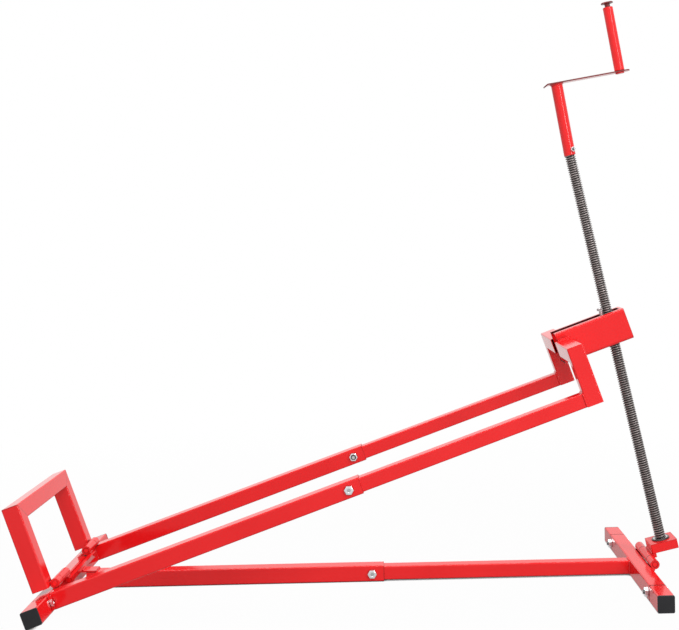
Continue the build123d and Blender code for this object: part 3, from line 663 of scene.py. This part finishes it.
def screw_tree():
    """Skin of a screw: a grid wound into a helix with a plain journal at each end."""
    sizes = ("Diameter", "Depth", "Pitch", "Journal", "Foot", "Start", "End", "Tip", "Chamfer")
    kinds = {size: "NodeSocketFloat" for size in sizes}
    kinds.update({"Columns": "NodeSocketInt", "Turns": "NodeSocketInt"})
    nodes, given = geometry_tree("lifting_screw", kinds)
    calc = nodes.math
    corners = float(len(THREAD_ALONG))
    rows = calc("MULTIPLY_ADD", calc("ADD", given["Turns"], 2.0), corners, 2.0 * END_ROWS)
    wide = calc("ADD", given["Columns"], 1.0)
    grid = nodes.add("GeometryNodeMeshGrid", {"Vertices X": wide, "Vertices Y": rows}).outputs["Mesh"]
    index = nodes.add("GeometryNodeInputIndex").outputs[0]
    column = calc("FLOOR", calc("DIVIDE", calc("ADD", index, 0.5), rows))
    row = calc("ROUND", calc("SUBTRACT", index, calc("MULTIPLY", column, rows)))
    turn = calc("DIVIDE", column, given["Columns"])
    step = calc("MAXIMUM", calc("SUBTRACT", row, float(END_ROWS)), 0.0)
    coil = calc("FLOOR", calc("DIVIDE", calc("ADD", step, 0.5), corners))
    corner = calc("ROUND", calc("SUBTRACT", step, calc("MULTIPLY", coil, corners)))
    along = calc("ADD", pick(nodes, corner, THREAD_ALONG), turn)
    rise = calc("ADD", calc("SUBTRACT", coil, 1.0), along)
    height = calc("MULTIPLY_ADD", rise, given["Pitch"], given["Start"])
    above = calc("GREATER_THAN", height, given["Start"])
    below = calc("LESS_THAN", height, given["End"])
    threaded = calc("MULTIPLY", above, below)
    level = calc("MINIMUM", calc("MAXIMUM", height, given["Start"]), given["End"])
    outer = calc("MULTIPLY", given["Diameter"], 0.5)
    up = calc("SUBTRACT", 1.0, pick(nodes, corner, THREAD_DOWN))
    down = calc("SUBTRACT", 1.0, calc("MULTIPLY", threaded, up))
    thread = calc("SUBTRACT", outer, calc("MULTIPLY", down, given["Depth"]))
    plain = calc("MULTIPLY", given["Journal"], 0.5)
    eased = calc("SUBTRACT", plain, given["Chamfer"])
    far = calc("SUBTRACT", calc("SUBTRACT", rows, 1.0), row)
    from_end = calc("MINIMUM", calc("MINIMUM", row, far), float(END_ROWS))
    upper = calc("LESS_THAN", far, row)
    foot_bevel = calc("ADD", given["Foot"], given["Chamfer"])
    tip_bevel = calc("SUBTRACT", given["Tip"], given["Chamfer"])
    low = pick(nodes, from_end, (given["Foot"], given["Foot"], foot_bevel, given["Start"], level))
    high = pick(nodes, from_end, (given["Tip"], given["Tip"], tip_bevel, given["End"], level))
    z = calc("ADD", low, calc("MULTIPLY", upper, calc("SUBTRACT", high, low)))
    radius = pick(nodes, from_end, (0.0, eased, plain, plain, thread))
    angle = calc("MULTIPLY", turn, 2 * math.pi)
    x = calc("MULTIPLY", radius, calc("COSINE", angle))
    y = calc("MULTIPLY", radius, calc("SINE", angle))
    spot = nodes.add("ShaderNodeCombineXYZ", {0: x, 1: y, 2: z}).outputs[0]
    skin = nodes.add("GeometryNodeSetPosition", {"Geometry": grid, "Position": spot}).outputs[0]
    skin = nodes.add("GeometryNodeMergeByDistance", {"Geometry": skin, "Distance": 0.00001}).outputs[0]
    return close_tree(nodes, given, skin)


def weld_tree():
    """Rippled bead swept along each curve."""
    kinds = {size: "NodeSocketFloat" for size in ("Radius", "Ripple", "Swell")}
    nodes, given = geometry_tree("weld_bead", kinds)
    step = nodes.math("DIVIDE", given["Ripple"], 4.0)
    inputs = {"Curve": given["Geometry"], "Length": step}
    path = nodes.add("GeometryNodeResampleCurve", inputs, mode="LENGTH").outputs[0]
    length = nodes.add("GeometryNodeSplineParameter").outputs["Length"]
    wave = nodes.math("SINE", nodes.math("MULTIPLY", nodes.math("DIVIDE", length, given["Ripple"]), math.pi))
    wave = nodes.math("ABSOLUTE", wave)
    wander = nodes.add("ShaderNodeTexNoise", {"Scale": 120.0, "Detail": 1.0}).outputs["Fac"]
    swell = nodes.math("MULTIPLY", given["Swell"], nodes.math("ADD", wave, wander))
    scale = nodes.math("ADD", nodes.math("SUBTRACT", 1.0, given["Swell"]), swell)
    ring = {"Resolution": 8, "Radius": given["Radius"]}
    profile = nodes.add("GeometryNodeCurvePrimitiveCircle", ring).outputs["Curve"]
    inputs = {"Curve": path, "Profile Curve": profile, "Scale": scale, "Fill Caps": True}
    return close_tree(nodes, given, nodes.add("GeometryNodeCurveToMesh", inputs).outputs[0])


def fastener_tree():
    """Copies of one fastener on points, each along the point's own axis."""
    nodes, given = geometry_tree("fasteners", {"Fastener": "NodeSocketObject"})
    inputs = {"Name": "axis"}
    axis = nodes.add("GeometryNodeInputNamedAttribute", inputs, data_type="FLOAT_VECTOR").outputs[0]
    turn = nodes.add("FunctionNodeAlignRotationToVector", {"Vector": axis}, axis="Z").outputs[0]
    shape = nodes.add("GeometryNodeObjectInfo", {"Object": given["Fastener"]}).outputs["Geometry"]
    inputs = {"Points": given["Geometry"], "Instance": shape, "Rotation": turn}
    return close_tree(nodes, given, nodes.add("GeometryNodeInstanceOnPoints", inputs).outputs[0])


# Hexagon fasteners in metres: across flats, head height, nut height, pitch for each thread size
HEX = {0.006: (0.010, 0.004, 0.005, 0.001), 0.008: (0.013, 0.0053, 0.0065, 0.00125),
       0.010: (0.017, 0.0064, 0.008, 0.0015)}
HEX_COLUMNS = 36

# Chamfer of a hexagon: radius of its circle over the width across flats, slope and first step
CHAMFER_CIRCLE = 0.475
CHAMFER_SLOPE = 0.577
CHAMFER_STEP = 0.0001

# Depth of the dish in a bolt's head and length of the bolt past its nut
DISH_DEPTH = 0.0006
BOLT_PROUD = 0.003

# Share of the cut threads' dark colour on a bolt's thread and end face, and of a painted reflection in its head's
# dish
THREAD_CUT = 1.0
END_CUT = 0.1
DISH_REFLECTION = 0.42


def turned_skin(name, rows, closed, columns=HEX_COLUMNS):
    """Mesh from rows round the Z axis: each row is (radius, height) or a function of the column's angle."""
    shape = bmesh.new()
    rings = []
    for row in rows:
        ring = []
        for column in range(columns):
            angle = 2 * math.pi * column / columns
            radius, height = row(angle) if callable(row) else row
            ring.append(shape.verts.new((radius * math.cos(angle), radius * math.sin(angle), height)))
        rings.append(ring)
    pairs = list(zip(rings, rings[1:]))
    if closed:
        pairs.append((rings[-1], rings[0]))
    for upper, lower in pairs:
        for column in range(columns):
            after = (column + 1) % columns
            shape.faces.new((upper[column], lower[column], lower[after], upper[after]))
    bmesh.ops.remove_doubles(shape, verts=shape.verts, dist=1e-7)
    bmesh.ops.recalc_face_normals(shape, faces=shape.faces)
    mesh = bpy.data.meshes.new(name)
    shape.to_mesh(mesh)
    shape.free()
    return mesh


def hexagon(across, height, slope=0.0):
    """Row on a hexagon's sides, falling away from its chamfer circle by a slope."""
    def row(angle):
        turn = (angle % (math.pi / 3)) - math.pi / 6
        radius = across / 2 / math.cos(turn)
        return radius, height - slope * (radius - CHAMFER_CIRCLE * across)
    return row


def thread_rows(size, pitch, top, bottom):
    """Fine thread between two heights, as alternate crests and roots."""
    rows = []
    turns = max(1, int((top - bottom) / pitch))
    for i in range(turns):
        rows.append((size / 2, top - (i + 0.15) * pitch))
        rows.append((size / 2 - 0.6 * pitch, top - (i + 0.6) * pitch))
    return rows


def hex_bolt(name, size, grip):
    """Hexagon bolt through a clamped thickness: chamfered head, washer face, shank and threaded end."""
    across, head, nut, pitch = HEX[size]
    rim = CHAMFER_CIRCLE * across
    dish = 0.45 * rim
    top = grip / 2
    face = top + 0.04 * size
    crown = top + head
    end = -top - nut - BOLT_PROUD
    rows = [(0.0, crown - DISH_DEPTH), (dish, crown - DISH_DEPTH), (1.15 * dish, crown)]
    rows += [(rim * 0.9, crown), (rim, crown - CHAMFER_STEP)]
    rows += [hexagon(across, crown - CHAMFER_STEP, CHAMFER_SLOPE), hexagon(across, face)]
    rows += [(rim, face), (rim, top), (size / 2, top), (size / 2, -top)]
    rows += thread_rows(size, pitch, -top, end + 0.1 * size)
    rows += [(0.42 * size, end), (0.28 * size, end), (0.0, end)]
    mesh = turned_skin(name, rows, False)
    cut = mesh.attributes.new("cut", "FLOAT", "POINT")
    for i, vertex in enumerate(mesh.vertices):
        radius = vertex.co.to_2d().length
        if vertex.co.z < -top:
            cut.data[i].value = THREAD_CUT if radius > 0.3 * size else END_CUT
        # Painted reflection: the dish in the head is darker
        elif vertex.co.z > top and radius < 1.1 * dish:
            cut.data[i].value = DISH_REFLECTION
    return mesh


def hex_nut(name, size, grip):
    """Hexagon nut below a clamped thickness, chamfered on both faces and bored."""
    across, _, height, _ = HEX[size]
    rim = CHAMFER_CIRCLE * across
    top = -grip / 2
    end = top - height
    bore = size / 2 - 0.0002
    sink = 0.12 * size
    rows = [(bore, top), (rim, top), hexagon(across, top - CHAMFER_STEP, CHAMFER_SLOPE)]

    def lower(angle):
        radius, drop = hexagon(across, 0.0, CHAMFER_SLOPE)(angle)
        return radius, end + CHAMFER_STEP - drop
    rows += [lower, (rim, end), (size / 2 + sink, end), (bore, end + sink)]
    return turned_skin(name, rows, True)


def bolt_middles(node, axis, drop, pair):
    """Middle of each bolt's clamped thickness: on the bolt's axis, a drop below the top of its head."""
    points = [vertex.co.copy() for vertex in frame["nodes"][node].data.vertices]
    sides = ([p for p in points if p.y < 0], [p for p in points if p.y >= 0]) if pair else (points,)
    first = axis.orthogonal().normalized()
    second = axis.cross(first)
    middles = []
    for group in sides:
        spot = (max(p.dot(axis) for p in group) - drop) * axis
        for way in (first, second):
            reach = [p.dot(way) for p in group]
            spot = spot + (min(reach) + max(reach)) / 2 * way
        middles.append(spot)
    return middles


def place_fasteners(context, name, body, shape, places, node):
    """Set one fastener shape on its places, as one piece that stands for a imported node."""
    mesh = bpy.data.meshes.new(name)
    mesh.from_pydata([spot for spot, _ in places], [], [])
    axes = mesh.attributes.new("axis", "FLOAT_VECTOR", "POINT")
    for i, (_, axis) in enumerate(places):
        axes.data[i].vector = axis
    pattern = bpy.data.objects.new(name + "_pattern", shape)
    tree = bpy.data.node_groups.get("fasteners") or fastener_tree()
    material = zinc(context.scene)
    source = grow(mesh, name, tree, {"Fastener": pattern, "Material": material})
    piece = solid_mesh(name, source, material, sharp=28.0)
    bpy.data.objects.remove(pattern)
    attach(piece, body)
    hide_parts(node)


class JACK_OT_paint(bpy.types.Operator):
    """Paint every welded steel piece of the jack"""
    bl_idname = "jack.paint"
    bl_label = "Paint the steel"

    def execute(self, context):
        scene, paint = context.scene, context.scene.jack_paint
        special = {
            "nut_channel": channel_red(scene),
            "front_crossbar": seam_red(scene),
            "front_foot_near": seam_red(scene),
            "crank_arm": finish("sheared_plate", rim_shade_coat, paint, PLATE_SHADE_LEVEL, False),
            "grip_pin": finish("sheared_head", rim_shade_coat, paint, PIN_SHADE_LEVEL, True),
        }
        for side in ("near", "far"):
            special["arm_inner_" + side] = weld_red(scene)
            special["front_upright_" + side] = weld_red(scene)
        for node, slot in SLOTS.items():
            if slot == "red_paint":
                dress(node, special.get(node) or red(scene))
        return {"FINISHED"}


class JACK_OT_bare_parts(bpy.types.Operator):
    """Finish the bare steel pieces, the plated fasteners and the plastic end caps"""
    bl_idname = "jack.bare_parts"
    bl_label = "Finish bare parts"

    def execute(self, context):
        metal = context.scene.jack_metal
        finishes = {
            "dark_steel": finish("oiled_steel", oiled_steel, metal),
            "zinc_steel": zinc(context.scene),
            "cap_plastic": finish("cap_plastic", cap_plastic, metal),
        }
        # The guide bolt's darker, reddish zinc is painted shade and red reflection
        dull = finish("dull_zinc", zinc_plate, metal, metal.dull_zinc, metal.shaded_guide_cloud, metal.zinc)
        for node, slot in SLOTS.items():
            if slot in finishes:
                dress(node, dull if node == "nut_guide_bolt" else finishes[slot])
        return {"FINISHED"}


class JACK_OT_screw(bpy.types.Operator):
    """Wind the lifting screw's thread and journals"""
    bl_idname = "jack.screw"
    bl_label = "Lifting screw"

    def execute(self, context):
        screw, metal = context.scene.jack_screw, context.scene.jack_metal
        material = finish("phosphated_screw", phosphated_screw, metal, screw.diameter / 2)
        values = {"Diameter": screw.diameter, "Depth": screw.depth, "Pitch": screw.pitch,
                  "Turns": screw.turns, "Start": screw.top - screw.turns * screw.pitch, "End": screw.top,
                  "Journal": screw.journal, "Foot": screw.foot, "Tip": screw.top + screw.spigot,
                  "Chamfer": screw.chamfer, "Columns": screw.columns, "Material": material}
        source = grow(bpy.data.meshes.new("screw_skin"), "screw_skin", screw_tree(), values)
        piece = solid_mesh("threaded_screw", source, material, sharp=40.0)
        piece.data.transform(SCREW)
        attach(piece, "crank")
        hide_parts("lift_screw")
        return {"FINISHED"}


class JACK_OT_grip(bpy.types.Operator):
    """Turn the crank's loose sleeve with eased rims"""
    bl_idname = "jack.grip"
    bl_label = "Crank grip"

    def execute(self, context):
        grip = context.scene.jack_grip
        outer, inner, rim = grip.diameter / 2, grip.bore / 2, grip.rim
        top = grip.start + grip.length
        turns = [math.radians(15 * step) for step in range(7)]
        sides = [(outer - rim + rim * math.sin(turn), rim - rim * math.cos(turn)) for turn in turns]
        rows = [(inner, top)] + [(radius, top - down) for radius, down in sides]
        rows += [(radius, grip.start + down) for radius, down in reversed(sides)] + [(inner, grip.start)]
        mesh = turned_skin("grip_sleeve", rows, True, grip.columns)
        mesh.transform(GRIP)
        mesh.materials.append(red(context.scene))
        smooth(mesh, sharp=35.0)
        piece = bpy.data.objects.new("grip_sleeve", mesh)
        context.scene.collection.objects.link(piece)
        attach(piece, "grip")
        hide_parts("crank_grip")
        return {"FINISHED"}


class JACK_OT_fasteners(bpy.types.Operator):
    """Fit the plated bolts and nuts with chamfered hexagons and threaded ends"""
    bl_idname = "jack.fasteners"
    bl_label = "Bolts and nuts"

    def execute(self, context):
        tubes = context.scene.jack_tubes
        near, far, ahead = Vector((0, -1, 0)), Vector((0, 1, 0)), Vector((1, 0, 0))
        turn = tubes.socket_bolt_turn
        socket = GRIP.to_3x3() @ Vector((math.sin(turn), -math.cos(turn), 0.0))
        joints = (
            ("arm_splice", "_bolts", "_nuts", "lift_frame", 0.010, tubes.tube, (near, far)),
            ("base_splice", "_bolt", "_nut", "base", 0.010, tubes.tube, (near,)),
            ("front_foot", "_bolts", "_nuts", "base", 0.010, tubes.tube, (ahead, ahead)),
            ("rear_foot", "_bolts", "_nuts", "lift_frame", 0.008, tubes.tube, (ARM_AHEAD, ARM_AHEAD)),
            ("crank_socket", "_bolt", "_nut", "crank", 0.006, tubes.socket, (socket,)),
        )
        for name, bolt, nut, body, size, grip, axes in joints:
            drop = HEX[size][1] + grip / 2
            places = []
            for i, axis in enumerate(axes):
                places.append((bolt_middles(name + bolt, axis, drop, len(axes) == 2)[i], axis))
            bolts, nuts = hex_bolt(name, size, grip), hex_nut(name, size, grip)
            place_fasteners(context, name + "_hex_bolts", body, bolts, places, name + bolt)
            place_fasteners(context, name + "_hex_nuts", body, nuts, places, name + nut)
        return {"FINISHED"}


class JACK_OT_welds(bpy.types.Operator):
    """Lay the painted weld beads where the tubes, barrels and plates meet"""
    bl_idname = "jack.welds"
    bl_label = "Weld beads"

    def execute(self, context):
        tubes, welds = context.scene.jack_tubes, context.scene.jack_welds
        floor = Matrix.Identity(4)
        stand, bead, swell = welds.stand, welds.bead, welds.swell
        self.lay(context, "frame_welds", "lift_frame", LIFT, self.frame_runs(tubes, stand), bead, swell)
        self.lay(context, "upright_welds", "lift_frame", LIFT, self.upright_runs(tubes, stand),
                 welds.upright_bead, 0.0)
        self.lay(context, "base_welds", "base", floor, self.base_runs(tubes, stand), bead, swell)
        self.lay(context, "seat_welds", "screw_seat", SEAT, self.seat_runs(), bead, swell)
        return {"FINISHED"}

    def frame_runs(self, tubes, stand):
        """Runs on the lifting frame, in the frame of the rear hinge."""
        half = tubes.tube / 2
        rise = tubes.tube + tubes.barrel / 2
        lap, clear, stop, corner, hang, trim = 0.002, 0.0005, 0.003, 0.004, 0.006, 0.001
        over, under = (-0.0092, 0.0052), (-0.0064, -0.0093)
        back, front = tubes.reach + tubes.inset + lap, tubes.reach + tubes.tube + stand
        top, low = tubes.upright + stand, tubes.upright - tubes.tube - stand
        loop = ((back, top), (front - corner, top), (front, top - corner), (front, low + corner),
                (front - corner, low), (back, low))

        def spot(along, across, up):
            return (along - tubes.ahead, across, up - rise)
        runs = []
        for way in (-1, 1):
            arm = way * tubes.spacing / 2
            for side in (-1, 1):
                across = arm + side * (half + stand)
                runs.append((spot(stand, across, stop), spot(stand, across, tubes.tube - stop)))
            channel = way * (tubes.channel / 2 + clear)
            runs.append([spot(along, channel, up) for along, up in loop])
            inner, outer = way * tubes.barrel_start, way * tubes.barrel_end
            runs.append(((over[0], inner + way * hang, over[1]), (over[0], outer, over[1])))
            inner, outer = inner + way * trim, outer - way * trim
            runs.append(((under[0], inner, under[1]), (under[0], outer, under[1])))
        return runs

    def upright_runs(self, tubes, stand):
        """Runs over the inner arm tubes at the uprights, in the frame of the rear hinge."""
        rise = tubes.tube / 2 + tubes.barrel / 2
        sink, foot, corner = 0.0002, 0.0015, 0.003
        along = tubes.reach - tubes.ahead - sink
        low, side = foot - tubes.slide / 2, tubes.slide / 2 + stand
        corners = ((-side, low), (-side, side - corner), (corner - side, side), (side - corner, side),
                   (side, side - corner), (side, low))
        arms = (-tubes.spacing / 2, tubes.spacing / 2)
        return [[(along, arm + across, up - rise) for across, up in corners] for arm in arms]

    def base_runs(self, tubes, stand):
        """Runs on the base, in the floor frame."""
        small, half = tubes.slide / 2, tubes.tube / 2
        foot, corner, trim, clear = 0.004, 0.003, 0.002, 0.0005
        barrel_step, barrel_trim = 0.055, 0.001
        face = FRONT_BAR_X - half - stand
        side, top = small + stand, half + small + stand
        runs = [((face, -side, foot), (face, -side, top - corner), (face, corner - side, top),
                 (face, side - corner, top), (face, side, top - corner), (face, side, foot))]
        low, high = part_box("base_hinge_bar")
        front, plate = high[0] + stand, low[2] + clear
        runs.append(((front, trim - half, plate), (front, half - trim, plate)))
        end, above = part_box("base_hinge_plate")[1][0] + stand, tubes.tube + stand
        runs.append(((end, corner - half, above), (end, half - corner, above)))
        groove, level = REAR_HINGE.x + 0.0086, high[2] + 0.0014
        for way in (-1, 1):
            inner, outer = way * (tubes.barrel_start - barrel_step), way * (high[1] - barrel_trim)
            runs.append(((groove, inner, level), (groove, outer, level)))
        return runs

    def seat_runs(self):
        """Run in front of the seat's knuckle, in the frame of the front hinge."""
        along, half, up = 0.0078, 0.027, 0.0098
        return [((along, -half, up), (along, half, up))]

    def lay(self, context, name, body, place, runs, radius, swell):
        """Sweep beads along runs of points and fix them to a body."""
        material = weld_red(context.scene)
        paths = bpy.data.curves.new(name, "CURVE")
        paths.dimensions = "3D"
        for points in runs:
            line = paths.splines.new("POLY")
            line.points.add(len(points) - 1)
            for knot, point in zip(line.points, points):
                knot.co = (*(place @ Vector(point)), 1.0)
        tree = bpy.data.node_groups.get("weld_bead") or weld_tree()
        ripple = context.scene.jack_welds.ripple
        values = {"Radius": radius, "Ripple": ripple, "Swell": swell, "Material": material}
        piece = solid_mesh(name, grow(paths, name, tree, values), material, sharp=60.0)
        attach(piece, body)


class JACK_OT_stage(bpy.types.Operator):
    """Build the white floor, the soft lamps, the surroundings and the camera"""
    bl_idname = "jack.stage"
    bl_label = "Stage"

    def execute(self, context):
        scene = context.scene
        stage = scene.jack_stage
        scene.view_settings.view_transform = "Standard"
        self.surround(scene, stage)
        self.floor(scene, stage)
        self.softbox(scene, "key", *KEY_LAMP, stage.key_power)
        front = self.softbox(scene, "front", *FRONT_LAMP, stage.front_power)
        front.visible_glossy = False
        self.softbox(scene, "top", *TOP_LAMP, stage.top_power)
        self.camera(scene)
        return {"FINISHED"}

    def seen(self, nodes):
        """Rays that show the background, straight or in a reflection; the others light the object."""
        path = nodes.add("ShaderNodeLightPath").outputs
        straight = nodes.math("MAXIMUM", path["Is Camera Ray"], path["Is Transmission Ray"])
        return straight, path["Is Glossy Ray"]

    def surround(self, scene, stage):
        """White room that lights the jack softly."""
        world = bpy.data.worlds.new("studio")
        world.use_nodes = True
        nodes = Nodes(world.node_tree)
        nodes.tree.nodes.clear()
        strength = nodes.within(nodes.math("MAXIMUM", *self.seen(nodes)), 0.0, 1.0, stage.surround, 1.0)
        room = nodes.add("ShaderNodeBackground", {"Color": (1.0, 1.0, 1.0, 1.0), "Strength": strength})
        nodes.add("ShaderNodeOutputWorld", {"Surface": room.outputs[0]})
        scene.world = world

    def floor(self, scene, stage):
        """White floor that keeps the jack's shadow, with a painted contact shadow where they touch."""
        material = bpy.data.materials.new("studio_floor")
        material.use_nodes = True
        nodes = Nodes(material.node_tree)
        nodes.tree.nodes.clear()
        matt = nodes.add("ShaderNodeBsdfDiffuse", {"Color": stage.floor}).outputs[0]
        white = nodes.add("ShaderNodeEmission", {"Color": (1.0, 1.0, 1.0, 1.0), "Strength": 1.0}).outputs[0]
        away = nodes.measure("LENGTH", nodes.add("ShaderNodeTexCoord").outputs["Object"])
        # Painted contact shadow: less white near the jack, so the dark matt floor shows
        clear = nodes.add("ShaderNodeAmbientOcclusion", {"Distance": stage.contact_shadow}, samples=8).outputs["AO"]
        whiteness = nodes.within(away, stage.near, stage.far, stage.whiteness, 1.0)
        whiteness = nodes.math("MULTIPLY", whiteness, nodes.within(clear, 0.15, 0.45, 0.1, 1.0))
        mirrored = nodes.within(away, stage.near, stage.far, stage.mirrored, 1.0)
        straight, glossy = self.seen(nodes)
        straight = nodes.math("MULTIPLY", straight, whiteness)
        share = nodes.math("MAXIMUM", straight, nodes.math("MULTIPLY", glossy, mirrored))
        both = nodes.add("ShaderNodeMixShader", {0: share, 1: matt, 2: white}).outputs[0]
        nodes.add("ShaderNodeOutputMaterial", {"Surface": both})
        half, low = FLOOR_HALF, CAD_BOX[0][2] - FLOOR_DROP
        corners = [(-half, -half, low), (half, -half, low), (half, half, low), (-half, half, low)]
        mesh = bpy.data.meshes.new("studio_floor")
        mesh.from_pydata(corners, [], [(0, 1, 2, 3)])
        mesh.materials.append(material)
        ground = bpy.data.objects.new("studio_floor", mesh)
        scene.collection.objects.link(ground)

    def softbox(self, scene, name, place, size, power):
        """Flat lamp turned to the middle of the jack."""
        lamp = bpy.data.lights.new(name, "AREA")
        lamp.shape = "RECTANGLE"
        lamp.size, lamp.size_y = size
        lamp.energy = power
        box = bpy.data.objects.new(name, lamp)
        box.location = place
        box.rotation_euler = (LAMP_TARGET - Vector(place)).to_track_quat("-Z", "Y").to_euler()
        scene.collection.objects.link(box)
        return box

    def camera(self, scene):
        """Camera at the photograph's place, with its lens and shift."""
        yaw, pitch, roll = (math.radians(turn) for turn in (CAMERA_YAW, CAMERA_PITCH, CAMERA_ROLL))
        right = Vector((math.cos(yaw), math.sin(yaw), 0.0))
        ahead = Vector((-math.sin(yaw) * math.cos(pitch), math.cos(yaw) * math.cos(pitch), -math.sin(pitch)))
        down = ahead.cross(right)
        tilted_right = math.cos(roll) * right + math.sin(roll) * down
        tilted_down = math.cos(roll) * down - math.sin(roll) * right
        turn = Matrix((tilted_right, -tilted_down, -ahead)).transposed().to_4x4()
        data = bpy.data.cameras.new("photograph")
        data.sensor_fit = "HORIZONTAL"
        data.sensor_width = SENSOR_WIDTH_MM
        data.lens = FOCAL_PIXELS / PHOTO_WIDTH * SENSOR_WIDTH_MM
        data.shift_x = (PHOTO_WIDTH / 2 - AXIS_PIXEL[0]) / PHOTO_WIDTH
        data.shift_y = (AXIS_PIXEL[1] - PHOTO_HEIGHT / 2) / PHOTO_WIDTH
        data.clip_end = 200.0
        eye = bpy.data.objects.new("photograph", data)
        eye.matrix_world = Matrix.Translation(CAMERA_PLACE) @ turn
        scene.collection.objects.link(eye)
        scene.camera = eye


class JACK_PT_panel(bpy.types.Panel):
    """Sidebar list of the jack's steps"""
    bl_label = "Lift Jack"
    bl_idname = "JACK_PT_panel"
    bl_space_type = "VIEW_3D"
    bl_region_type = "UI"
    bl_category = "Lift Jack"

    def draw(self, context):
        for step in STEPS:
            self.layout.operator(step.bl_idname)
        for name in SETTINGS:
            group = getattr(context.scene, name)
            box = self.layout.box()
            for key in group.__annotations__:
                box.prop(group, key)


STEPS = (JACK_OT_stage, JACK_OT_paint, JACK_OT_bare_parts, JACK_OT_screw, JACK_OT_grip, JACK_OT_fasteners,
         JACK_OT_welds)
SETTINGS = {"jack_paint": JackPaint, "jack_metal": JackMetal, "jack_screw": JackScrew, "jack_grip": JackGrip,
            "jack_tubes": JackTubes, "jack_welds": JackWelds, "jack_stage": JackStage}


def register():
    for name, group in SETTINGS.items():
        bpy.utils.register_class(group)
        setattr(bpy.types.Scene, name, PointerProperty(type=group))
    for step in STEPS:
        bpy.utils.register_class(step)
    bpy.utils.register_class(JACK_PT_panel)


def unregister():
    bpy.utils.unregister_class(JACK_PT_panel)
    for step in reversed(STEPS):
        bpy.utils.unregister_class(step)
    for name, group in SETTINGS.items():
        delattr(bpy.types.Scene, name)
        bpy.utils.unregister_class(group)


def main():
    """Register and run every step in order."""
    register()
    bpy.ops.jack.stage()
    bpy.ops.jack.paint()
    bpy.ops.jack.bare_parts()
    bpy.ops.jack.screw()
    bpy.ops.jack.grip()
    bpy.ops.jack.fasteners()
    bpy.ops.jack.welds()


if __name__ == "__main__":
    main()
